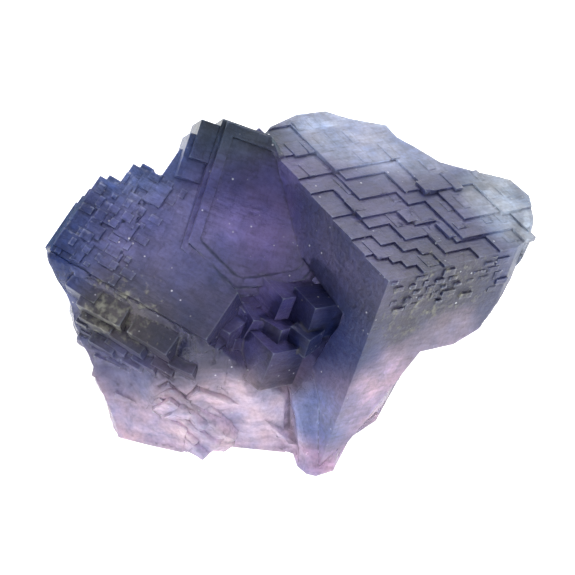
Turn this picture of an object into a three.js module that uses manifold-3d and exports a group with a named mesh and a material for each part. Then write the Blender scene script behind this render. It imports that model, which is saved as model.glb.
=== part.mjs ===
// A hand-sized fluorite specimen: three large cubes grown into one another, with stepped margins
// and growth layers, small cubes in the hollow between them, and the broken lilac root below.
// It grew as one piece, so it is one solid. Millimetres, +Z up, its best side towards -Y.
import * as THREE from "three";
import { ConvexGeometry } from "three/addons/geometries/ConvexGeometry.js";
import { mergeVertices } from "three/addons/utils/BufferGeometryUtils.js";
import Module from "manifold-3d";

const wasm = await Module();
wasm.setup();

// Driving dimensions

// The three large cubes. Each has a frame on its best face: x runs to the right across the face,
// y up the face and z out of it. The corner is the frame's origin and the turn is in degrees.
const LEFT = frameAt([-34.9, 20.1, 26.3], [23.5, -7.6, -33.2]);
const MIDDLE = frameAt([-9.1, 32.4, 40.2], [38.8, 12.5, -17.9]);
const RIGHT = frameAt([13.9, 6.6, 33.4], [-10.3, 16.7, 37.6]);

const LEFT_DEPTH = 20;
const LEFT_WIDTH = 27.5;
const LEFT_SHOULDER = [[LEFT_WIDTH, 8.3], [18, 11.5], [14, 24.2]];
// The left cube's upper margin climbs in teeth: where each starts across, and how far up it ends.
const TEETH = [
  { from: 0, top: 13.4 },
  { from: 3.2, top: 17.4 },
  { from: 7.8, top: 22.8 },
  { from: 9.3, top: 24.2 },
];
const TOOTH_TIP = { inset: 0.7, width: 1.9, rise: 1.1, drop: 1.2 };
// Thin lower slabs that show past the left margin, each below and outside the one before.
const RIM = { count: 3, outside: 0.55, drop: 0.8, start: 0.6, end: 12.4, shrink: 1.2 };
const LEFT_PLATES = { count: 18, width: [1.4, 3.6], thickness: [0.2, 0.5], across: 8, up: 16 };

const MIDDLE_DEPTH = 18;
const MIDDLE_FACE = [
  [0, 0], [0, -18.6], [8.7, -22.8], [17.7, -18.2], [20, -12.8], [15, -6.5], [7, 0],
];
const HOPPER = { centre: [8.8, -11.6], share: 0.84, depth: 0.5 };
const LEDGE = { centre: [8, -6], share: 1.07, drop: 1.3 };
// Two cubes beside the middle cube's upper corner, by their low and high corners on its face.
const SHOULDER_CUBES = [
  { low: [-3.4, -6.4, -9], high: [0.4, -0.6, -1.9] },
  { low: [-4.2, -9.4, -9], high: [0.4, -2.8, -3] },
];

// The right cube as two broken lumps: the rib and column under its front corner, and the wing.
const RIGHT_TOP = 4;
const COLUMN_FRONT = [[0, 0], [0, -34], [2.2, -34], [4.2, -29.8], [7.2, -20.6], [12.1, -15.4], [14, 0]];
const COLUMN_BACK = [[0, 0], [0, -34], [9, -34], [15, -25], [17, -15], [17, 0]];
const WING_FRONT = [[8, 0], [8, -15.4], [18.6, -15.4], [22.6, -13.5], [25.9, -6], [25.9, 0]];
const WING_TIP = [[34, 0], [34, -3.2], [30.5, -7.5], [23, -14.6]];
const WING_BACK = [[8, 0], [8, -14], [19, -11], [23.5, -5.5], [23.5, 0]];
const WING_TIP_AT = 10;
const RIGHT_BACK_AT = 33;
// The top face in plan: two cube edges in front, and the back corner broken off.
const RIGHT_PLAN = [
  [0, 0], [24.4, 0], [26.6, 0.9], [31, 4.6], [33.6, 9], [33.2, 13.1], [28.8, 16.3], [24.7, 19.6],
  [23.1, 23.9], [21.8, 26.6], [22, 29.6], [17.2, 32.4], [14.4, 35], [9.2, 35.4], [3, 33.9], [0, 32],
];
// Growth layers step down towards the front corner: how far across and back their edges reach.
const LAYERS = { count: 7, thickness: 0.32, steps: 5, reach: [9, 41], climb: [7, 40], wander: 0.34 };

// The root is broken flat where it stands. Its walls run from a foot up to a brow.
const WALL = {
  foot: [[-24.9, 7.7, 0], [-20.3, 6.1, 0], [-16, 4.8, 0], [-11, 6.2, 0], [-5.9, 6.2, 0], [-0.9, 4.8, 0]],
  brow: [
    [-34.8, 20, 25.6], [-27, 15.5, 24.4], [-12.4, 5.8, 22.1],
    [-9, 6, 18.6], [-5.5, 6.6, 14.6], [-0.9, 6.2, 10.2],
  ],
};
const NOSE = {
  foot: [[0.9, 2, 0], [2.2, 0.5, 0], [3.6, 0, 0], [6.1, 1.1, 0], [8.6, 7.7, 0], [12.4, 11.2, 0]],
  brow: [[0.2, 6, 11], [2.4, 5, 9], [4.4, 4.2, 7], [8.4, 5.4, 8.4], [13, 7.8, 9.6], [13.6, 9.8, 6]],
};
const NOSE_BACK = [[-2, 14, 0], [-2, 14, 14], [8, 14, 0], [8, 14, 16]];
const BACK_FOOT = [
  [16, 20, 0], [17, 31, 0], [10, 39, 0], [-6, 41, 0], [-20, 38, 0], [-28, 29, 0], [-28, 20, 0],
];
const BACK_BROW = [[-20, 39, 16], [0, 42, 17], [12, 40, 14], [16, 20, 16]];
// Solid crystal behind the three cubes, where their backs meet.
const CORE = [
  [-22, 20, 2], [-22, 24, 20], [10, 16, 2], [12, 22, 24],
  [-6, 35, 2], [-6, 33, 27], [12, 34, 20], [-4, 20, 24],
];
// Cleavage steps low on the front wall: blocks sunk into it that lean down to the right.
const STEPS = {
  count: 30, along: [0.14, 0.94], crowding: 1.6, height: [0.1, 0.5], sunk: 3,
  length: [6, 13], width: [2.5, 5], rise: [-0.5, 0.3], lean: [16, 50], tilt: [10, 24],
};

// The hollow beside the rib, cut into the right cube's left face, in that cube's frame.
const HOLLOW = { out: -3, deep: 5, sides: [[5.4, -10.5], [9.2, -28], [20, -28], [20, -8]] };

// Cubes in the hollow follow the right cube: their upper front corner on the right, edge and turn.
const HOLLOW_CUBES = [
  { at: [2.4, 8.5, 18.1], edge: 6.8, turn: [0, 3, 2] },
  { at: [7.9, 12, 23.4], edge: 5.5, turn: [-3, 0, -4] },
  { at: [4.5, 15.5, 22.3], edge: 7.5, turn: [2, 2, 0] },
  { at: [-2.7, 15, 21.2], edge: 5.5, turn: [4, -6, 8] },
  { at: [1.3, 11, 20.1], edge: 4.4, turn: [-8, 5, 12] },
  { at: [-2.2, 11, 20.7], edge: 4, turn: [6, 8, -10] },
  { at: [-5.6, 11.5, 21], edge: 5.2, turn: [-5, -10, 14] },
  { at: [-7.9, 9.5, 19.6], edge: 4.6, turn: [10, -4, 20] },
  { at: [-4.7, 10, 18.1], edge: 4.2, turn: [-12, 8, -6] },
  { at: [-1.6, 10, 17.6], edge: 3.4, turn: [8, 12, 4] },
  { at: [-8.5, 12, 22.1], edge: 4, turn: [-6, -14, 10] },
  { at: [4.9, 9.5, 20.6], edge: 3.6, turn: [5, -8, 16] },
];
// On the left wall: shares of the way along it and up it.
const WALL_CUBES = [
  { along: 0.46, height: 0.84, edge: 7.4 },
  { along: 0.76, height: 0.82, edge: 7 },
  { along: 0.6, height: 0.7, edge: 5.8 },
  { along: 0.33, height: 0.72, edge: 5.4 },
  { along: 0.28, height: 0.88, edge: 5.2 },
  { along: 0.3, height: 0.58, edge: 4.2 },
  { along: 0.46, height: 0.6, edge: 3.6 },
  { along: 0.56, height: 0.54, edge: 3.2 },
  { along: 0.68, height: 0.6, edge: 4 },
  { along: 0.8, height: 0.64, edge: 3.6 },
  { along: 0.92, height: 0.72, edge: 4 },
];
const WALL_CUBE_SINK = [0.14, 0.24, -0.08];
const WALL_CUBE_TURN = [-6, 6];
// Cubes on the back follow the left cube: centre, edge and turn.
const BACK_CUBES = [
  { at: [-18, 32, 15], edge: 16, turn: [4, 6, 10] },
  { at: [-5, 35, 20], edge: 14, turn: [-6, 4, -14] },
  { at: [9, 36, 15], edge: 13, turn: [8, -10, 22] },
  { at: [-24, 30, 12], edge: 11, turn: [-10, 8, 16] },
  { at: [-12, 39, 10], edge: 9, turn: [12, -6, -8] },
  { at: [1, 41, 8], edge: 7, turn: [-16, 12, 30] },
  { at: [15, 30, 9], edge: 9, turn: [10, 18, -26] },
  { at: [-24, 34, 9], edge: 7, turn: [20, -12, 40] },
  { at: [17, 22, 8], edge: 6, turn: [-14, 24, 8] },
  { at: [4, 39, 22], edge: 7, turn: [18, 10, -12] },
];

const FLOOR_CUT = { side: 200, height: 100 };
const SEED = 7;
const GREY_BLUE = 0x646986;

// Shared helpers

const random = randomFrom(SEED);

// A repeatable stream of numbers from 0 to 1.
function randomFrom(seed) {
  let state = seed;
  return () => {
    state = (state + 0x6d2b79f5) | 0;
    let mixed = Math.imul(state ^ (state >>> 15), 1 | state);
    mixed = (mixed + Math.imul(mixed ^ (mixed >>> 7), 61 | mixed)) ^ mixed;
    return ((mixed ^ (mixed >>> 14)) >>> 0) / 2 ** 32;
  };
}

function between([low, high]) {
  return low + (high - low) * random();
}

function frameAt(origin, turnDegrees) {
  const turn = new THREE.Euler(...turnDegrees.map((angle) => THREE.MathUtils.degToRad(angle)));
  return new THREE.Matrix4().makeRotationFromEuler(turn).setPosition(...origin);
}

// A frame at a point, turned by some degrees from a large cube's own directions.
function frameNear(frame, origin, turnDegrees) {
  const turned = new THREE.Matrix4().extractRotation(frame);
  return turned.multiply(frameAt([0, 0, 0], turnDegrees)).setPosition(...origin);
}

function solidOf(geometry) {
  const bare = geometry.clone().deleteAttribute("normal").deleteAttribute("uv");
  const merged = mergeVertices(bare, 1e-4);
  return new wasm.Manifold(
    new wasm.Mesh({
      numProp: 3,
      vertProperties: merged.attributes.position.array,
      triVerts: new Uint32Array(merged.index.array),
    }),
  );
}

function joined(solids) {
  return solids.reduce((whole, next) => whole.add(next));
}

// The outer skin alone, so that a pocket sealed between crystals is solid.
function filled(solid) {
  return solid.decompose().reduce((skin, next) => (next.volume() > skin.volume() ? next : skin));
}

// A box between two corners in a frame.
function block(frame, low, high) {
  const size = high.map((value, axis) => value - low[axis]);
  const centre = high.map((value, axis) => (value + low[axis]) / 2);
  return solidOf(new THREE.BoxGeometry(...size).translate(...centre).applyMatrix4(frame));
}

function cube(frame, edge) {
  return solidOf(new THREE.BoxGeometry(edge, edge, edge).applyMatrix4(frame));
}

// An outline in a frame's x and y, filled between two levels of z.
function slab(frame, outline, bottom, top) {
  const shape = new THREE.Shape(outline.map(([x, y]) => new THREE.Vector2(x, y)));
  const geometry = new THREE.ExtrudeGeometry(shape, { depth: top - bottom, bevelEnabled: false });
  return solidOf(geometry.translate(0, 0, bottom).applyMatrix4(frame));
}

// The convex lump that holds some points of a frame, or of the whole specimen.
function lump(points, frame = new THREE.Matrix4()) {
  const corners = points.map((point) => new THREE.Vector3(...point).applyMatrix4(frame));
  return solidOf(new ConvexGeometry(corners));
}

// An outline in x and z set at a distance back along y.
function setBack(outline, y) {
  return outline.map(([x, z]) => [x, y, z]);
}

// An outline drawn to a share of its size about a point.
function scaled(outline, { centre, share }) {
  return outline.map((point) => point.map((value, axis) => centre[axis] + (value - centre[axis]) * share));
}

// A point a share of the way along a line of points.
function alongLine(points, share) {
  const place = share * (points.length - 1);
  const index = Math.min(Math.floor(place), points.length - 2);
  const start = new THREE.Vector3(...points[index]);
  return start.lerp(new THREE.Vector3(...points[index + 1]), place - index);
}

function onWall({ foot, brow }, along, height) {
  return alongLine(foot, along).lerp(alongLine(brow, along), height);
}

// The left cube: a plan with teeth, thin slabs past its margin and low plates on its face.

function leftOutline() {
  const outline = [[0, 0], [LEFT_WIDTH, 0], ...LEFT_SHOULDER];
  for (let i = TEETH.length - 1; i > 0; i--) {
    outline.push([TEETH[i].from, TEETH[i].top], [TEETH[i].from, TEETH[i - 1].top]);
  }
  outline.push([0, TEETH[0].top]);
  return outline;
}

function leftCube() {
  const outline = leftOutline();
  const pieces = [slab(LEFT, outline, -LEFT_DEPTH, 0)];
  for (let i = 1; i <= RIM.count; i++) {
    const low = [-RIM.outside * i, RIM.start, -LEFT_DEPTH / 2];
    pieces.push(block(LEFT, low, [1, RIM.end - RIM.shrink * i, -RIM.drop * i]));
  }
  for (const { from, top } of TEETH.slice(0, -1)) {
    const start = from + TOOTH_TIP.inset;
    const low = [start, top - TOOTH_TIP.width, -LEFT_DEPTH / 4];
    pieces.push(block(LEFT, low, [start + TOOTH_TIP.width, top + TOOTH_TIP.rise, -TOOTH_TIP.drop]));
  }
  const overFace = slab(LEFT, outline, -LEFT_DEPTH / 4, 1);
  for (let i = 0; i < LEFT_PLATES.count; i++) {
    const x = between([0, LEFT_PLATES.across]);
    const y = between([0, LEFT_PLATES.up]);
    const [width, length] = [between(LEFT_PLATES.width), between(LEFT_PLATES.width)];
    const plate = block(LEFT, [x, y, -1], [x + width, y + length, between(LEFT_PLATES.thickness)]);
    pieces.push(plate.intersect(overFace));
  }
  return joined(pieces);
}

// The middle cube: its face has a shallow hopper, a ledge round it, and two cubes at its shoulder.

function middleCube() {
  const face = slab(MIDDLE, MIDDLE_FACE, -MIDDLE_DEPTH, 0);
  const hopper = slab(MIDDLE, scaled(MIDDLE_FACE, HOPPER), -HOPPER.depth, 1);
  const ledge = slab(MIDDLE, scaled(MIDDLE_FACE, LEDGE), -MIDDLE_DEPTH, -LEDGE.drop);
  const shoulder = SHOULDER_CUBES.map(({ low, high }) => block(MIDDLE, low, high));
  return joined([face.subtract(hopper), ledge, ...shoulder]);
}

// The right cube: broken lumps under one flat top, growth layers on it, and the hollow in its side.

// One layer's edge: a staircase along the cube's own directions, from its left face to its front.
function staircase(climb, reach) {
  const points = [[0, climb]];
  for (let i = 1; i <= LAYERS.steps; i++) {
    const wander = i < LAYERS.steps ? LAYERS.wander * (2 * random() - 1) : 0;
    const share = (i + wander) / LAYERS.steps;
    const y = climb * (1 - share);
    points.push([points.at(-1)[0], y], [reach * share, y]);
  }
  return points;
}

function growthLayers() {
  const farReach = LAYERS.reach[1] + 1;
  const farClimb = LAYERS.climb[1] + 1;
  const layers = [];
  for (let i = 0; i < LAYERS.count; i++) {
    const share = i / (LAYERS.count - 1);
    const climb = THREE.MathUtils.lerp(...LAYERS.climb, share);
    const reach = THREE.MathUtils.lerp(...LAYERS.reach, share);
    const outline = [...staircase(climb, reach), [farReach, 0], [farReach, farClimb], [0, farClimb]];
    layers.push(slab(RIGHT, outline, -1, LAYERS.thickness * (i + 1)));
  }
  return layers;
}

function rightCube() {
  const columnEnds = [...setBack(COLUMN_FRONT, 0), ...setBack(COLUMN_BACK, RIGHT_BACK_AT)];
  const wingEnds = [...setBack(WING_FRONT, 0), ...setBack(WING_BACK, RIGHT_BACK_AT)];
  const column = lump(columnEnds, RIGHT);
  const wing = lump([...wingEnds, ...setBack(WING_TIP, WING_TIP_AT)], RIGHT);
  const plan = slab(RIGHT, RIGHT_PLAN, COLUMN_BACK[1][1] - 1, RIGHT_TOP);
  const hollow = [HOLLOW.out, HOLLOW.deep].flatMap((x) => HOLLOW.sides.map(([y, z]) => [x, y, z]));
  return joined([column, wing, ...growthLayers()]).intersect(plan).subtract(lump(hollow, RIGHT));
}

// The root: lumps that share one flat underside, with cleavage steps on the wall in front.

function root() {
  const { foot, brow } = WALL;
  const left = [...foot.slice(0, 4), ...brow.slice(0, 4), ...BACK_FOOT.slice(3), ...BACK_BROW.slice(0, 2)];
  const centre = [...foot.slice(3), ...brow.slice(3), ...BACK_FOOT.slice(1, 5), ...BACK_BROW.slice(0, 3)];
  const nose = [...NOSE.foot.slice(0, 5), ...NOSE.brow.slice(0, 4), ...NOSE_BACK];
  const rightFront = [...NOSE.foot.slice(4), ...NOSE.brow.slice(3), NOSE_BACK[0]];
  const right = [...rightFront, ...BACK_FOOT.slice(0, 3), ...BACK_BROW.slice(2)];
  return joined([left, centre, nose, right, CORE].map((points) => lump(points)));
}

// A frame on the front wall: x down to the right along the cleavage, y out of the wall.
function stepFrame(along, height) {
  const before = onWall(WALL, Math.max(0, along - 0.1), height);
  const after = onWall(WALL, Math.min(1, along + 0.1), height);
  const up = onWall(WALL, along, 1).sub(onWall(WALL, along, 0)).normalize();
  const out = after.sub(before).cross(up).normalize();
  const lean = THREE.MathUtils.degToRad(between(STEPS.lean));
  const down = up.clone().cross(out).applyAxisAngle(out, -lean);
  const turn = new THREE.Matrix4().makeBasis(down, out, down.clone().cross(out));
  turn.multiply(frameAt([0, 0, 0], [between(STEPS.tilt), 0, 0]));
  return turn.setPosition(onWall(WALL, along, height));
}

function cleavageSteps() {
  const pieces = [];
  for (let i = 0; i < STEPS.count; i++) {
    const share = ((i + random()) / STEPS.count) ** STEPS.crowding;
    const along = THREE.MathUtils.lerp(...STEPS.along, share);
    const frame = stepFrame(along, between(STEPS.height));
    const [x, z] = [between(STEPS.length) / 2, between(STEPS.width) / 2];
    pieces.push(block(frame, [-x, -STEPS.sunk, -z], [x, between(STEPS.rise), z]));
  }
  return joined(pieces);
}

function smallCubes() {
  const inHollow = HOLLOW_CUBES.map(({ at, edge, turn }) => {
    return block(frameNear(RIGHT, at, turn), [-edge, 0, -edge], [0, edge, 0]);
  });
  const behind = BACK_CUBES.map(({ at, edge, turn }) => cube(frameNear(LEFT, at, turn), edge));
  const leftWall = { foot: WALL.foot.slice(0, 3), brow: WALL.brow.slice(0, 3) };
  const inFront = WALL_CUBES.map(({ along, height, edge }) => {
    const sink = new THREE.Vector3(...WALL_CUBE_SINK).multiplyScalar(edge);
    const centre = onWall(leftWall, along, height).add(sink);
    const turn = [between(WALL_CUBE_TURN), between(WALL_CUBE_TURN), between(WALL_CUBE_TURN)];
    return cube(frameNear(LEFT, centre.toArray(), turn), edge);
  });
  return joined([...inHollow, ...behind, ...inFront]);
}

// The specimen: everything fused, cut flat at the floor, and centred over its underside.

function fluorite() {
  const { side, height } = FLOOR_CUT;
  const aboveFloor = solidOf(new THREE.BoxGeometry(side, side, height).translate(0, 0, height / 2));
  const grown = joined([leftCube(), middleCube(), rightCube(), root(), cleavageSteps(), smallCubes()]);
  return filled(grown.intersect(aboveFloor));
}

function meshOf(solid, name, material) {
  const { vertProperties, triVerts } = solid.getMesh();
  const geometry = new THREE.BufferGeometry();
  geometry.setAttribute("position", new THREE.BufferAttribute(vertProperties, 3));
  geometry.setIndex(new THREE.BufferAttribute(triVerts, 1));
  geometry.computeBoundingBox();
  const centre = geometry.boundingBox.getCenter(new THREE.Vector3());
  geometry.translate(-centre.x, -centre.y, 0);
  const mesh = new THREE.Mesh(geometry, material);
  mesh.name = name;
  return mesh;
}

const crystal = new THREE.MeshStandardMaterial({ color: GREY_BLUE, roughness: 0.35, flatShading: true });

const specimen = new THREE.Group();
specimen.add(meshOf(fluorite(), "fluorite_cluster", crystal));

export default specimen;
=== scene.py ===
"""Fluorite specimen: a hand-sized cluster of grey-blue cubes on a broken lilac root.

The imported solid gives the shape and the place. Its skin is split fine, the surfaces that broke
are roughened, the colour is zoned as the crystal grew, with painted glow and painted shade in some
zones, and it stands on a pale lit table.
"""

from __future__ import annotations

import itertools
import logging
import math
import random
from dataclasses import dataclass
from enum import Enum
from typing import Any

import bmesh
import bpy
import numpy as np
from mathutils import Matrix, Vector
from mathutils.bvhtree import BVHTree

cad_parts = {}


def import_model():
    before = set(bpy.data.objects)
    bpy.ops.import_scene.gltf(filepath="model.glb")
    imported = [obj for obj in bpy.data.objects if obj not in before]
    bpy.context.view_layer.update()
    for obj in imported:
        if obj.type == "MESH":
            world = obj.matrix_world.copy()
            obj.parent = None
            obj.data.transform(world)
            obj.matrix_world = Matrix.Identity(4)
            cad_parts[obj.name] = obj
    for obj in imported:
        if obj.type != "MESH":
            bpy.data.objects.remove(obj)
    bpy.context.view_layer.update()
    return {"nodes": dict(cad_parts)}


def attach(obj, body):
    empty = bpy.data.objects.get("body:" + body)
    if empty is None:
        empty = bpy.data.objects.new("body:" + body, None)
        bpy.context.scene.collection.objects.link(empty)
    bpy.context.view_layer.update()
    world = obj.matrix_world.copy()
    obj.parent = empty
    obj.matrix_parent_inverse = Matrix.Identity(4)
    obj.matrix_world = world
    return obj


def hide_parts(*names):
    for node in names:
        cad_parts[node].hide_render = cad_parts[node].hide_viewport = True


LOG = logging.getLogger("fluorite")
MM = 0.001

Triple = tuple[float, float, float]


def linear(hex_colour: str) -> tuple[float, float, float, float]:
    """Turns an sRGB hex colour to linear light.

    Args:
        hex_colour: the colour as "#rrggbb".

    Returns:
        Red, green, blue and an alpha of 1.
    """
    parts = [int(hex_colour[i : i + 2], 16) / 255 for i in (1, 3, 5)]
    red, green, blue = (p / 12.92 if p <= 0.04045 else ((p + 0.055) / 1.055) ** 2.4 for p in parts)
    return red, green, blue, 1.0


def add_node(
    tree: bpy.types.NodeTree, kind: str, inputs: dict[str | int, Any], **settings: Any
) -> bpy.types.Node:
    """Adds a node with its settings, its values and its links.

    Args:
        tree: the node tree to add to.
        kind: the node's type name.
        inputs: each input's value, or the output that is linked to it, by name or number.
        **settings: the node's own properties.

    Returns:
        The new node.
    """
    node = tree.nodes.new(kind)
    for name, value in settings.items():
        setattr(node, name, value)
    for key, value in inputs.items():
        if isinstance(value, bpy.types.NodeSocket):
            tree.links.new(value, node.inputs[key])
        else:
            node.inputs[key].default_value = value
    return node


def noise_at(points: np.ndarray, size: float, seed: int) -> np.ndarray:
    """Smooth noise from -1 to 1.

    Args:
        points: places, one row each.
        size: how far apart the noise's own points are, in the same unit.
        seed: picks the pattern.

    Returns:
        One value for each place.
    """
    scaled = points / size + seed * 17.31
    cell = np.floor(scaled).astype(np.int64)
    part = scaled - cell
    smooth = part * part * (3 - 2 * part)
    total = np.zeros(len(points))
    for corner in itertools.product((0, 1), repeat=3):
        x, y, z = (cell + corner).T
        mixed = (x * 73856093) ^ (y * 19349663) ^ (z * 83492791) ^ (seed * 26544357)
        mixed = ((mixed ^ (mixed >> 13)) * 1274126177) & 0xFFFFFFFF
        value = ((mixed ^ (mixed >> 16)) & 0xFFFF) / 0xFFFF
        total += value * np.prod(np.where(corner, smooth, 1 - smooth), axis=1)
    return total * 2 - 1


class Lattice(Enum):
    """The three large cubes, by how each is turned, in degrees about x, y and z."""

    LEFT = (23.5, -7.6, -33.2)
    MIDDLE = (38.8, 12.5, -17.9)
    RIGHT = (-10.3, 16.7, 37.6)

    def axes(self) -> np.ndarray:
        """The cube's own directions, one row each."""
        turns = (Matrix.Rotation(math.radians(a), 3, axis) for a, axis in zip(self.value, "XYZ"))
        turned = Matrix.Identity(3)
        for turn in turns:
            turned = turned @ turn
        return np.array(turned.transposed())


@dataclass(frozen=True)
class ColourZone:
    """A part of the crystal that grew in one colour; some zones also carry painted glow, others painted
    shade.

    Fields: what it is, where its middle is and how far it reaches, in millimetres, its colour,
    how clear it is, from 0 for chalky to 1 for clear, and how far it is covered in pale crust.
    """

    name: str
    centre: Triple
    reach: float
    colour: str
    clarity: float
    crust: float = 0.0


ZONES = (
    ColourZone("left cube", (-18, -2, 29), 10, "#5a64a0", 0.4),
    ColourZone("left margin", (-33, -2, 26), 7, "#1f3f80", 0.5),
    ColourZone("left teeth", (-22, 8, 34), 6, "#6a90cc", 0.6),
    # Painted shade: the left lower face and left wall zones darken the cube's side and the wall under it, as
    # the side away from the light, over their own blue.
    ColourZone("left lower face", (-11, -10, 27), 6, "#2f385e", 0.4),
    ColourZone("olive wall", (-23, -11, 22), 7, "#4c4d3e", 0.15, 1.0),
    ColourZone("left wall", (-15, -15, 18), 8, "#20253e", 0.35),
    ColourZone("wall foot", (-23, -14, 12), 5, "#56618e", 0.5),
    ColourZone("middle cube", (-6, 0, 31), 7, "#54498a", 0.45),
    ColourZone("middle rim", (-8, 9, 39), 6, "#33454f", 0.3),
    # Painted shade: the hollow and hollow foot zones darken the recess, over its own deep indigo.
    ColourZone("hollow", (-2, -13, 22), 8, "#2c2a62", 0.45),
    ColourZone("hollow foot", (-1, -17, 15), 4, "#33303c", 0.35),
    ColourZone("right left side", (7, -4, 32), 7, "#34385c", 0.35),
    ColourZone("right top", (15, -3, 31), 11, "#4a4d76", 0.25),
    # Painted glow: pale colours on the right cube's far edge and tip stand in for light shining through the
    # thin backlit rims.
    ColourZone("right far edge", (12, 19, 31), 9, "#d8ecff", 0.7),
    ColourZone("right tip", (34, 7, 26), 6.5, "#d6e8ec", 0.7),
    ColourZone("right front", (21, -12, 26), 8, "#40414a", 0.25, 0.9),
    ColourZone("right underside", (21, -11, 15), 5, "#c2b6cc", 0.5),
    ColourZone("rib", (6, -16, 19), 6, "#30457a", 0.45),
    ColourZone("rib foot", (4, -20, 8), 4, "#8aa6dc", 0.6),
    ColourZone("middle root", (-8, -18, 7), 7, "#ffeef6", 0.4),
    ColourZone("nose", (4, -22, 1), 4, "#f4d8ee", 0.5),
    ColourZone("right root", (13, -17, 10), 6, "#f6def2", 0.5),
    ColourZone("left root", (-15, -18, 3), 9, "#ffe9f2", 0.4),
)


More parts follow.
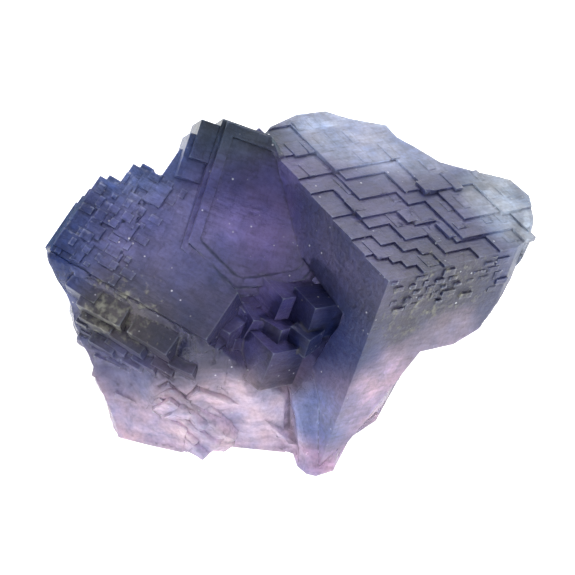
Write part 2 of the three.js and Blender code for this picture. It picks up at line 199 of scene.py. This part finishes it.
@dataclass(frozen=True)
class CleavedFluorite:
    """Fluorite: grown faces dulled by tiny steps, and fresh cleavage where it broke.

    It lets some light through and scatters the rest, so that its pale parts glow; on the right cube's
    far edge and tip the glow is also painted into the zone colours. Grown faces are satin,
    with square steps along the cube's own directions. Broken ones are glassy and ragged, and a
    chalky crust lies in grains on the faces that were weathered.
    """

    ior: float = 1.434
    glow: float = 0.4
    glow_mm: float = 2.5
    grown_roughness: float = 0.34
    broken_roughness: float = 0.2
    # Real growth steps go down to a hundredth of this and are drawn coarser, so that they show.
    step_mm: tuple[float, float] = (2.6, 0.9)
    sway_mm: float = 1.1
    drift_mm: float = 4.5
    # Size of the painted glint flecks.
    glint_mm: float = 1.4
    ragged_mm: float = 2.4
    crust_mm: float = 1.1
    ripple_mm: tuple[float, float] = (3.2, 0.8)
    streak_mm: tuple[float, float] = (7.0, 1.3)
    streak_degrees: float = -35.0
    grit_mm: float = 0.5
    relief_mm: float = 0.35
    drift_edge: tuple[float, float] = (0.34, 0.66)
    drift_colours: tuple[str, str] = ("#c3cbe8", "#fff2f6")
    step_shade: tuple[float, float] = (0.72, 1.14)
    # How dark the step seams are painted: painted shadow of the step walls.
    painted_seam_shadow: float = 0.8
    grit_shade: tuple[float, float] = (0.62, 1.3)
    # How dark the grooves are painted: painted shade in creases.
    painted_groove_shade: float = 0.6
    # Painted highlight: a pale colour laid on convex ridges, where the skin bends outward.
    ridge_highlight_colour: str = "#a9bcd8"
    # Painted glints: a pale colour for flecks that stand in for sparkle.
    glint_colour: str = "#dfe4ee"
    crust_colour: str = "#92938a"
    crust_lift: float = 0.32
    crust_edge: tuple[float, float] = (0.7, 0.98)
    crust_roughness: float = 0.85

    def material(self) -> bpy.types.Material:
        """Builds the material.

        Returns:
            The new material.
        """
        made = bpy.data.materials.new("cleaved_fluorite")
        made.use_nodes = True
        tree = made.node_tree
        tree.nodes.clear()
        levels, seam = self._steps(tree)
        fine = self._fine(tree)
        crust = self._crust(tree)
        clarity = add_node(
            tree,
            "ShaderNodeMix",
            {"Factor": crust, "A": self._painted(tree, "clarity", "Fac"), "B": 0.0},
        )
        shader = add_node(
            tree,
            "ShaderNodeBsdfPrincipled",
            {
                "Base Color": self._colour(tree, levels, seam, fine, crust),
                "Roughness": self._roughness(tree, crust),
                "IOR": self.ior,
                "Transmission Weight": clarity.outputs["Result"],
                "Subsurface Weight": self.glow,
                "Subsurface Radius": (1.0, 0.9, 1.0),
                "Subsurface Scale": self.glow_mm * MM,
                "Normal": self._relief(tree, levels, fine, crust),
            },
        )
        add_node(tree, "ShaderNodeOutputMaterial", {"Surface": shader.outputs["BSDF"]})
        return made

    def _painted(self, tree: bpy.types.NodeTree, name: str, output: str) -> bpy.types.NodeSocket:
        """One output of a value painted on the mesh."""
        return add_node(tree, "ShaderNodeAttribute", {}, attribute_name=name).outputs[output]

    def _place(self, tree: bpy.types.NodeTree) -> bpy.types.NodeSocket:
        """The place on the specimen, in millimetres."""
        place = add_node(tree, "ShaderNodeTexCoord", {}).outputs["Object"]
        scaled = add_node(tree, "ShaderNodeVectorMath", {0: place, "Scale": 1 / MM}, operation="SCALE")
        return scaled.outputs["Vector"]

    def _noise(self, tree: bpy.types.NodeTree, size_mm: float, detail: float) -> bpy.types.NodeSocket:
        """Noise over the specimen, by the size of its patches."""
        inputs = {"Vector": self._place(tree), "Scale": 1 / size_mm, "Detail": detail}
        return add_node(tree, "ShaderNodeTexNoise", inputs).outputs["Fac"]

    def _between(
        self, tree: bpy.types.NodeTree, value: bpy.types.NodeSocket, start: float, end: float
    ) -> bpy.types.NodeSocket:
        """A smooth rise from 0 to 1 as a value goes from start to end."""
        inputs = {"Value": value, "From Min": start, "From Max": end}
        return add_node(tree, "ShaderNodeMapRange", inputs, interpolation_type="SMOOTHSTEP").outputs["Result"]

    def _steps(self, tree: bpy.types.NodeTree) -> tuple[bpy.types.NodeSocket, bpy.types.NodeSocket]:
        """Square steps along the cube's own directions, with edges that sway.

        Args:
            tree: the material's nodes.

        Returns:
            The level of each step, and the distance to its edge.
        """
        grain = self._painted(tree, "grain", "Vector")
        sway = add_node(tree, "ShaderNodeTexNoise", {"Vector": grain, "Scale": 0.6, "Detail": 3.0})
        bent = add_node(
            tree,
            "ShaderNodeVectorMath",
            {0: sway.outputs["Color"], 1: (self.sway_mm,) * 3, 2: grain},
            operation="MULTIPLY_ADD",
        )
        levels, seams = [], []
        for size in self.step_mm:
            inputs = {"Vector": bent.outputs["Vector"], "Scale": 1 / size, "Randomness": 0.5}
            nearest = add_node(tree, "ShaderNodeTexVoronoi", inputs, distance="CHEBYCHEV")
            second = add_node(tree, "ShaderNodeTexVoronoi", inputs, distance="CHEBYCHEV", feature="F2")
            levels.append(
                add_node(tree, "ShaderNodeSeparateColor", {"Color": nearest.outputs["Color"]}).outputs["Red"]
            )
            gap = add_node(
                tree,
                "ShaderNodeMath",
                {0: second.outputs["Distance"], 1: nearest.outputs["Distance"]},
                operation="SUBTRACT",
            )
            seams.append(self._between(tree, gap.outputs["Value"], 0.0, 0.14))
        level = add_node(tree, "ShaderNodeMix", {"Factor": 0.4, "A": levels[0], "B": levels[1]})
        seam = add_node(tree, "ShaderNodeMix", {"Factor": 0.4, "A": seams[0], "B": seams[1]})
        return level.outputs["Result"], seam.outputs["Result"]

    def _fine(self, tree: bpy.types.NodeTree) -> bpy.types.NodeSocket:
        """Ripples along grown faces, streaks down broken ones, and grit on both.

        Args:
            tree: the material's nodes.

        Returns:
            The texture, about 0.5 in the middle.
        """
        runs = (
            (self._painted(tree, "grain", "Vector"), self.ripple_mm, 0.0),
            (self._place(tree), self.streak_mm, self.streak_degrees),
        )
        drawn = []
        for vector, (length, width), degrees in runs:
            along = add_node(
                tree,
                "ShaderNodeMapping",
                {
                    "Vector": vector,
                    "Rotation": (0, math.radians(degrees), 0),
                    "Scale": (1 / length, 1 / width, 1 / width),
                },
            )
            inputs = {"Vector": along.outputs["Vector"], "Scale": 1.0, "Detail": 5.0}
            drawn.append(add_node(tree, "ShaderNodeTexNoise", inputs).outputs["Fac"])
        broken = self._painted(tree, "broken", "Fac")
        run = add_node(tree, "ShaderNodeMix", {"Factor": broken, "A": drawn[0], "B": drawn[1]})
        grit = self._noise(tree, self.grit_mm, 3.0)
        return add_node(
            tree, "ShaderNodeMix", {"Factor": 0.4, "A": run.outputs["Result"], "B": grit}
        ).outputs["Result"]

    def _crust(self, tree: bpy.types.NodeTree) -> bpy.types.NodeSocket:
        """Where the chalky crust lies, in grains.

        Args:
            tree: the material's nodes.

        Returns:
            The crust's cover, 0 to 1.
        """
        grains = self._noise(tree, self.crust_mm, 8.0)
        cover = add_node(
            tree,
            "ShaderNodeMath",
            {0: self._painted(tree, "crust", "Fac"), 1: self.crust_lift, 2: grains},
            operation="MULTIPLY_ADD",
        )
        return self._between(tree, cover.outputs["Value"], *self.crust_edge)

    def _colour(
        self,
        tree: bpy.types.NodeTree,
        level: bpy.types.NodeSocket,
        seam: bpy.types.NodeSocket,
        fine: bpy.types.NodeSocket,
        crust: bpy.types.NodeSocket,
    ) -> bpy.types.NodeSocket:
        """The zone's colour, drifting from blue to violet, with seams darkened as painted shadow, painted
        shade in grooves, painted highlights on ridges, painted glint flecks and crust.

        Args:
            tree: the material's nodes.
            level: the level of each step.
            seam: the distance to the step's edge.
            fine: ripples, streaks and grit.
            crust: the crust's cover.

        Returns:
            The colour output.
        """
        ramp = add_node(tree, "ShaderNodeValToRGB", {"Fac": self._noise(tree, self.drift_mm, 7.0)})
        low, high = ramp.color_ramp.elements
        low.position, high.position = self.drift_edge
        low.color, high.color = (linear(hex_colour) for hex_colour in self.drift_colours)
        broken = self._painted(tree, "broken", "Fac")
        grown = add_node(tree, "ShaderNodeMath", {0: 1.0, 1: broken}, operation="SUBTRACT")
        darkest, lightest = self.step_shade
        inputs = {"Value": level, "To Min": darkest, "To Max": lightest}
        shade = add_node(tree, "ShaderNodeMapRange", inputs)
        # Painted shadow: seams darkened where the walls of the steps would be shaded.
        inputs = {"Value": seam, "To Min": self.painted_seam_shadow, "To Max": 1.0}
        seam_shadow_line = add_node(tree, "ShaderNodeMapRange", inputs)
        toned_and_shadowed = add_node(
            tree,
            "ShaderNodeMath",
            {0: shade.outputs["Result"], 1: seam_shadow_line.outputs["Result"]},
            operation="MULTIPLY",
        )
        stepped = add_node(
            tree,
            "ShaderNodeMix",
            {"Factor": grown.outputs["Value"], "A": 1.0, "B": toned_and_shadowed.outputs["Value"]},
        )
        colour = self._painted(tree, "zone", "Color")
        bend = self._painted(tree, "bend", "Fac")
        darkest, lightest = self.grit_shade
        inputs = {"Value": fine, "From Min": 0.32, "From Max": 0.68, "To Min": darkest, "To Max": lightest}
        grain = add_node(tree, "ShaderNodeMapRange", inputs)
        # Painted shade: grooves, where the skin bends inward, are darkened.
        inputs = {"Value": bend, "From Min": -1.2, "From Max": -0.1, "To Min": self.painted_groove_shade}
        groove_shade_tint = add_node(tree, "ShaderNodeMapRange", inputs)
        tints = (
            ramp.outputs["Color"],
            stepped.outputs["Result"],
            grain.outputs["Result"],
            groove_shade_tint.outputs["Result"],
        )
        for tint in tints:
            mixed = add_node(
                tree,
                "ShaderNodeMix",
                {"Factor": 1.0, 6: colour, 7: tint},
                data_type="RGBA",
                blend_type="MULTIPLY",
            )
            colour = mixed.outputs[2]
        # Painted glints: small pale dots, in patches, standing in for sparkle.
        dots = add_node(
            tree,
            "ShaderNodeTexVoronoi",
            {"Vector": self._place(tree), "Scale": 1 / self.glint_mm},
        )
        glint_dot = self._between(tree, dots.outputs["Distance"], 0.14, 0.05)
        some = self._between(tree, self._noise(tree, 4.0, 2.0), 0.5, 0.62)
        glints = add_node(tree, "ShaderNodeMath", {0: glint_dot, 1: some}, operation="MULTIPLY")
        highlights_and_crust = (
            # Painted highlights on ridges, painted glint flecks, then the real crust.
            (self._between(tree, bend, 0.6, 6.0), self.ridge_highlight_colour),
            (glints.outputs["Value"], self.glint_colour),
            (crust, self.crust_colour),
        )
        for cover, hex_colour in highlights_and_crust:
            mixed = add_node(
                tree, "ShaderNodeMix", {"Factor": cover, 6: colour, 7: linear(hex_colour)}, data_type="RGBA"
            )
            colour = mixed.outputs[2]
        return colour

    def _roughness(self, tree: bpy.types.NodeTree, crust: bpy.types.NodeSocket) -> bpy.types.NodeSocket:
        """Satin on grown faces, glassy where broken, and chalky on the crust.

        Args:
            tree: the material's nodes.
            crust: the crust's cover.

        Returns:
            The roughness output.
        """
        bare = add_node(
            tree,
            "ShaderNodeMix",
            {
                "Factor": self._painted(tree, "broken", "Fac"),
                "A": self.grown_roughness,
                "B": self.broken_roughness,
            },
        )
        inputs = {"Factor": crust, "A": bare.outputs["Result"], "B": self.crust_roughness}
        covered = add_node(tree, "ShaderNodeMix", inputs)
        return covered.outputs["Result"]

    def _relief(
        self,
        tree: bpy.types.NodeTree,
        level: bpy.types.NodeSocket,
        fine: bpy.types.NodeSocket,
        crust: bpy.types.NodeSocket,
    ) -> bpy.types.NodeSocket:
        """Square growth steps on grown faces, a ragged grain on broken ones, and fine relief on all.

        Args:
            tree: the material's nodes.
            level: the level of each step.
            fine: ripples, streaks and grit.
            crust: the crust's cover.

        Returns:
            The normal output.
        """
        ragged = self._noise(tree, self.ragged_mm, 7.0)
        broken = self._painted(tree, "broken", "Fac")
        bare = add_node(tree, "ShaderNodeMix", {"Factor": broken, "A": level, "B": ragged})
        height = bare.outputs["Result"]
        for added, share in ((fine, 0.8), (crust, 0.6)):
            height = add_node(
                tree, "ShaderNodeMath", {0: added, 1: share, 2: height}, operation="MULTIPLY_ADD"
            ).outputs["Value"]
        bump = add_node(
            tree,
            "ShaderNodeBump",
            {"Height": height, "Strength": 0.9, "Distance": self.relief_mm * MM},
        )
        return bump.outputs["Normal"]


@dataclass(frozen=True)
class OpalAcrylic:
    """Opal acrylic, lit from below: an even white that hides the lamps under it."""

    colour: str = "#f6f6f4"
    glow: float = 0.9

    def material(self) -> bpy.types.Material:
        """Builds the material.

        Returns:
            The new material.
        """
        made = bpy.data.materials.new("opal_acrylic")
        made.use_nodes = True
        tree = made.node_tree
        tree.nodes.clear()
        shader = add_node(
            tree,
            "ShaderNodeBsdfPrincipled",
            {
                "Base Color": linear(self.colour),
                "Roughness": 0.6,
                "Emission Color": linear("#ffffff"),
                "Emission Strength": self.glow,
            },
        )
        add_node(tree, "ShaderNodeOutputMaterial", {"Surface": shader.outputs["BSDF"]})
        return made


@dataclass(frozen=True)
class GrowthPlates:
    """Low plates that grew on one face, in rows along its cube's own directions.

    Fields, in millimetres: the corner that the rows start at, the cube's directions to the right
    and up the face, how far the rows reach, the room that each plate has, how far it rises, the
    share of the places that hold one, the seed that picks them, the side of the face that they
    grow on, 1 where right, up and out make a right-handed frame and -1 where they don't, how deep
    each is sunk in the face, and how far from the rows the face is looked for.
    """

    lattice: Lattice
    corner: Triple
    right: Triple
    up: Triple
    span: tuple[float, float]
    pitch: tuple[float, float]
    rise: tuple[float, float]
    share: float
    seed: int
    side: int = 1
    sunk: float = 0.7
    probe: float = 6.0

    def grow(self, plates: bmesh.types.BMesh, skin: BVHTree) -> None:
        """Adds the plates that find the face under them.

        Args:
            plates: the mesh that they go in.
            skin: the surface that they grow on.
        """
        pick = random.Random(self.seed)
        axes = self.lattice.axes()
        right, up = (Vector(np.array(way) @ axes) for way in (self.right, self.up))
        turn = Matrix((right, up, right.cross(up))).transposed().to_4x4()
        out = right.cross(up) * self.side
        rows, columns = (int(self.span[i] / self.pitch[i]) for i in (1, 0))
        for row, column in itertools.product(range(rows), range(columns)):
            size = [room * pick.uniform(0.3, 0.95) for room in self.pitch]
            rise = pick.uniform(*self.rise)
            shift = 0.5 * (row % 2) + 0.5
            place = Vector(self.corner) + right * (column + shift) * self.pitch[0]
            place += up * (row + 0.5) * self.pitch[1]
            if pick.random() > self.share:
                continue
            hit, normal, _, _ = skin.ray_cast((place + out * self.probe) * MM, -out, 2 * self.probe * MM)
            if hit is None or normal.dot(out) < 0.999:
                continue
            height = self.sunk + rise
            middle = Matrix.Translation(hit + out * (rise - height / 2) * MM)
            scale = Matrix.Diagonal((size[0] * MM, size[1] * MM, height * MM, 1.0))
            bmesh.ops.create_cube(plates, size=1.0, matrix=middle @ turn @ scale)


LEFT_CORNER = (-34.7, -3.3, 26.3)
RIGHT_CORNER = (14.1, -16.8, 33.4)
X, Y, DOWN = (1, 0, 0), (0, 1, 0), (0, 0, -1)
PLATES = (
    GrowthPlates(Lattice.LEFT, LEFT_CORNER, X, Y, (12, 25), (2.4, 1.8), (0.05, 0.3), 0.6, 1),
    GrowthPlates(Lattice.LEFT, LEFT_CORNER, X, DOWN, (27, 12), (2.3, 1.5), (0.1, 0.5), 0.6, 5, -1),
    GrowthPlates(Lattice.RIGHT, RIGHT_CORNER, X, Y, (34, 36), (2.6, 4.4), (0.03, 0.12), 0.4, 3),
    GrowthPlates(Lattice.RIGHT, RIGHT_CORNER, X, DOWN, (26, 7), (2.6, 1.3), (0.08, 0.35), 0.55, 4, -1),
)


@dataclass
class FluoriteCluster:
    """The specimen's skin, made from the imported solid."""

    solid: bpy.types.Object
    edge_mm: float = 0.72
    passes: int = 6
    flat_degrees: float = 0.4
    lattice_degrees: float = 1.5
    crease_degrees: float = 28.0
    rough_mm: tuple[tuple[float, float], ...] = ((6.0, 0.8), (2.4, 0.35), (1.1, 0.12))
    root_mm: float = 12.0
    zone_edge: float = 3.0
    ground: float = 0.08
    ground_colours: tuple[str, str] = ("#f0dae6", "#59628a")
    ground_clarity: tuple[float, float] = (0.8, 0.45)
    ground_fade_mm: tuple[float, float] = (7.0, 14.0)
    bend_gain: float = 4.0

    def build(self) -> bpy.types.Object:
        """Splits the skin, breaks up its broken faces and paints its zones.

        Returns:
            The new piece.
        """
        skin = self._grown()
        flat = math.radians(self.flat_degrees)
        bmesh.ops.dissolve_limit(skin, angle_limit=flat, verts=skin.verts, edges=skin.edges)
        grains = self._mark_growth(skin)
        self._split(skin)
        mesh = bpy.data.meshes.new("fluorite")
        skin.to_mesh(mesh)
        skin.free()
        self._paint(mesh, grains)
        mesh.set_sharp_from_angle(angle=math.radians(self.crease_degrees))
        piece = bpy.data.objects.new("fluorite", mesh)
        bpy.context.scene.collection.objects.link(piece)
        return piece

    def dress(self, piece: bpy.types.Object, finish: CleavedFluorite) -> None:
        """Gives the piece its finish and its place in the frame.

        Args:
            piece: the skin.
            finish: what it is made of.
        """
        piece.data.materials.clear()
        piece.data.materials.append(finish.material())
        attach(piece, "root")
        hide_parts("fluorite_cluster")

    def _grown(self) -> bmesh.types.BMesh:
        """The solid's skin joined with the low plates on its faces.

        Returns:
            The joined mesh.
        """
        skin = bmesh.new()
        skin.from_mesh(self.solid.data)
        bmesh.ops.remove_doubles(skin, verts=skin.verts, dist=1e-6)
        surface = BVHTree.FromBMesh(skin)
        for rows in PLATES:
            plates = bmesh.new()
            rows.grow(plates, surface)
            skin = self._joined(skin, plates)
        return skin

    def _joined(self, first: bmesh.types.BMesh, second: bmesh.types.BMesh) -> bmesh.types.BMesh:
        """Joins two closed meshes into one skin.

        Args:
            first: a mesh, which is freed.
            second: the mesh to join to it, which is freed.

        Returns:
            The outer skin of both.
        """
        pieces = []
        for part in (first, second):
            mesh = bpy.data.meshes.new("joining")
            part.to_mesh(mesh)
            part.free()
            piece = bpy.data.objects.new("joining", mesh)
            bpy.context.scene.collection.objects.link(piece)
            pieces.append(piece)
        join = pieces[0].modifiers.new("join", "BOOLEAN")
        join.operation, join.solver, join.object = "UNION", "MANIFOLD", pieces[1]
        graph = bpy.context.evaluated_depsgraph_get()
        joined = bmesh.new()
        joined.from_object(pieces[0], graph)
        for piece in pieces:
            bpy.data.meshes.remove(piece.data)
        return joined

    def _mark_growth(self, skin: bmesh.types.BMesh) -> list[np.ndarray]:
        """Finds which faces grew and which broke.

        Args:
            skin: the mesh, with each flat face whole.

        Returns:
            The directions that grown faces follow. Each face's layer "grain" holds its number
            in this list, or 0 for a broken face.
        """
        layer = skin.faces.layers.int.new("grain")
        grains = [np.identity(3)] + [lattice.axes() for lattice in Lattice]
        near = math.cos(math.radians(self.lattice_degrees))
        for face in skin.faces:
            middle = face.calc_center_median() / MM
            if middle.z < self.root_mm and middle.y < 0:
                continue
            normal = np.array(face.normal)
            for number, axes in enumerate(grains[1:], start=1):
                if np.abs(axes @ normal).max() > near:
                    face[layer] = number
                    break
            else:
                own = self._square_corner(face)
                if own is not None:
                    grains.append(own)
                    face[layer] = len(grains) - 1
        return grains

    def _square_corner(self, face: bmesh.types.BMFace) -> np.ndarray | None:
        """The directions of a small cube that a face belongs to.

        Args:
            face: a flat face.

        Returns:
            Three directions, one row each, or None where the face has no square corner.
        """
        sides = []
        for edge in face.edges:
            for other in edge.link_faces:
                if other != face and abs(other.normal.dot(face.normal)) < 0.004:
                    sides.append(other.normal.copy())
        for first, second in itertools.combinations(sides, 2):
            if abs(first.dot(second)) < 0.004:
                return np.array([first, second, face.normal])
        return None

    def _split(self, skin: bmesh.types.BMesh) -> None:
        """Halves edges that are longer than the set length, a few times over.

        Args:
            skin: the mesh.
        """
        bmesh.ops.triangulate(skin, faces=skin.faces)
        for _ in range(self.passes):
            long_edges = [edge for edge in skin.edges if edge.calc_length() > self.edge_mm * MM]
            bmesh.ops.subdivide_edges(skin, edges=long_edges, cuts=1)
            bmesh.ops.triangulate(skin, faces=[face for face in skin.faces if len(face.verts) > 3])

    def _paint(self, mesh: bpy.types.Mesh, grains: list[np.ndarray]) -> None:
        """Roughens broken faces and paints colour, clarity, breaks and grain.

        Args:
            mesh: the split mesh.
            grains: the directions that grown faces follow.
        """
        count = len(mesh.vertices)
        places = np.empty(count * 3)
        mesh.vertices.foreach_get("co", places)
        places = places.reshape(-1, 3) / MM
        normals = np.empty(count * 3, np.float32)
        mesh.vertices.foreach_get("normal", normals)
        normals = normals.reshape(-1, 3)
        corners = np.empty(len(mesh.loops), np.int32)
        mesh.loops.foreach_get("vertex_index", corners)
        numbers = np.empty(len(mesh.polygons), np.int32)
        mesh.attributes["grain"].data.foreach_get("value", numbers)
        faces = corners.reshape(-1, 3)

        broken = np.ones(count)
        broken[faces[numbers > 0].ravel()] = 0.0
        resting = places[:, 2] < 0.01
        raised = sum(depth * noise_at(places, size, seed) for seed, (size, depth) in enumerate(self.rough_mm))
        moved = places + normals * (raised * broken * ~resting)[:, None]
        moved[:, 2] = np.maximum(moved[:, 2], 0.0)
        mesh.vertices.foreach_set("co", (moved * MM).ravel().astype(np.float32))

        colour, clarity, crust = self._zoned(places)
        mesh.attributes.new("zone", "FLOAT_COLOR", "POINT").data.foreach_set("color", colour.ravel())
        bend = self._bend(moved, normals, faces)
        for name, values in (("clarity", clarity), ("crust", crust), ("broken", broken), ("bend", bend)):
            mesh.attributes.new(name, "FLOAT", "POINT").data.foreach_set("value", values)
        turned = np.einsum("nij,nj->ni", np.array(grains)[np.repeat(numbers, 3)], places[corners])
        mesh.attributes.remove(mesh.attributes["grain"])
        mesh.attributes.new("grain", "FLOAT_VECTOR", "CORNER").data.foreach_set("vector", turned.ravel())
        mesh.update()

    def _bend(self, places: np.ndarray, normals: np.ndarray, faces: np.ndarray) -> np.ndarray:
        """How sharply the skin bends at each point, over 0 on ridges and under 0 in grooves.

        Args:
            places: where each point is, in millimetres.
            normals: which way the skin faces there.
            faces: the points of each triangle.

        Returns:
            The mean sine of the fall towards the points around, times the gain.
        """
        starts = faces[:, (0, 1, 2, 0, 1, 2)].ravel()
        ends = faces[:, (1, 2, 0, 2, 0, 1)].ravel()
        way = places[ends] - places[starts]
        fall = -np.einsum("ni,ni->n", way, normals[starts]) / (np.linalg.norm(way, axis=1) + 1e-9)
        total = np.bincount(starts, fall, len(places))
        share = total / np.maximum(np.bincount(starts, minlength=len(places)), 1)
        return share * self.bend_gain

    def _zoned(self, places: np.ndarray) -> tuple[np.ndarray, np.ndarray, np.ndarray]:
        """Blends the colour zones, over lilac below and slate above.

        Args:
            places: where, in millimetres.

        Returns:
            The colour, four columns, the clarity and the crust.
        """
        start, end = self.ground_fade_mm
        height = np.clip((places[:, 2] - start) / (end - start), 0, 1)
        total = np.full(len(places), self.ground)
        low, high = (np.array(linear(hex_colour)) for hex_colour in self.ground_colours)
        colour = (low + np.outer(height, high - low)) * self.ground
        below, above = self.ground_clarity
        clarity = (below + (above - below) * height) * self.ground
        crust = np.zeros(len(places))
        for zone in ZONES:
            apart = np.linalg.norm(places - np.array(zone.centre), axis=1)
            weight = np.exp(-((apart / zone.reach) ** self.zone_edge))
            colour += weight[:, None] * np.array(linear(zone.colour))
            clarity += weight * zone.clarity
            crust += weight * zone.crust
            total += weight
        return colour / total[:, None], clarity / total, crust / total


@dataclass
class Studio:
    """A lit table, an even white room and the camera."""

    table_m: float = 3.0
    gap_mm: float = 0.05
    room: float = 0.8
    soft_box_m: float = 1.2
    soft_box_watts: float = 14.0
    soft_box_place_m: Triple = (0.3, 0.9, 0.9)
    elevation_degrees: float = 45.0
    lens_mm: float = 400.0
    sensor_mm: float = 36.0
    across_mm: float = 82.65
    aim_mm: Triple = (-0.335, -9.66, 25.02)

    def build(self) -> bpy.types.Object:
        """Makes the table, the room light and the camera.

        Returns:
            The table top.
        """
        half = self.table_m / 2
        mesh = bpy.data.meshes.new("table_top")
        low = -self.gap_mm * MM
        corners = [(x * half, y * half, low) for x, y in ((-1, -1), (1, -1), (1, 1), (-1, 1))]
        mesh.from_pydata(corners, [], [(0, 1, 2, 3)])
        table = bpy.data.objects.new("table_top", mesh)
        bpy.context.scene.collection.objects.link(table)
        self._light()
        self._camera()
        return table

    def _light(self) -> None:
        """Fills the room with even white light, with a soft box behind."""
        scene = bpy.context.scene
        scene.view_settings.view_transform = "Standard"
        world = bpy.data.worlds.new("room")
        world.use_nodes = True
        world.node_tree.nodes.clear()
        white = {"Color": linear("#ffffff"), "Strength": self.room}
        back = add_node(world.node_tree, "ShaderNodeBackground", white)
        add_node(world.node_tree, "ShaderNodeOutputWorld", {"Surface": back.outputs["Background"]})
        scene.world = world
        data = bpy.data.lights.new("soft_box", "AREA")
        data.size, data.energy = self.soft_box_m, self.soft_box_watts
        lamp = bpy.data.objects.new("soft_box", data)
        lamp.location = self.soft_box_place_m
        lamp.rotation_euler = (-Vector(lamp.location)).to_track_quat("-Z", "Y").to_euler()
        scene.collection.objects.link(lamp)

    def _camera(self) -> None:
        """Looks down at the specimen from far off."""
        data = bpy.data.cameras.new("camera")
        data.lens, data.sensor_width = self.lens_mm, self.sensor_mm
        distance = self.across_mm * MM * self.lens_mm / self.sensor_mm
        rise = math.radians(self.elevation_degrees)
        back = Vector((0, -math.cos(rise), math.sin(rise)))
        camera = bpy.data.objects.new("camera", data)
        camera.location = Vector(self.aim_mm) * MM + back * distance
        camera.rotation_euler = (math.pi / 2 - rise, 0, 0)
        bpy.context.scene.collection.objects.link(camera)
        bpy.context.scene.camera = camera


def main() -> None:
    """Builds the specimen and its studio, and logs the specimen's face count."""
    logging.basicConfig(level=logging.INFO, format="%(name)s: %(message)s")
    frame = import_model()

    studio = Studio()
    table = studio.build()
    table.data.materials.append(OpalAcrylic().material())

    cluster = FluoriteCluster(frame["nodes"]["fluorite_cluster"])
    piece = cluster.build()
    cluster.dress(piece, CleavedFluorite())
    LOG.info("%s: %d faces", piece.name, len(piece.data.polygons))


if __name__ == "__main__":
    main()
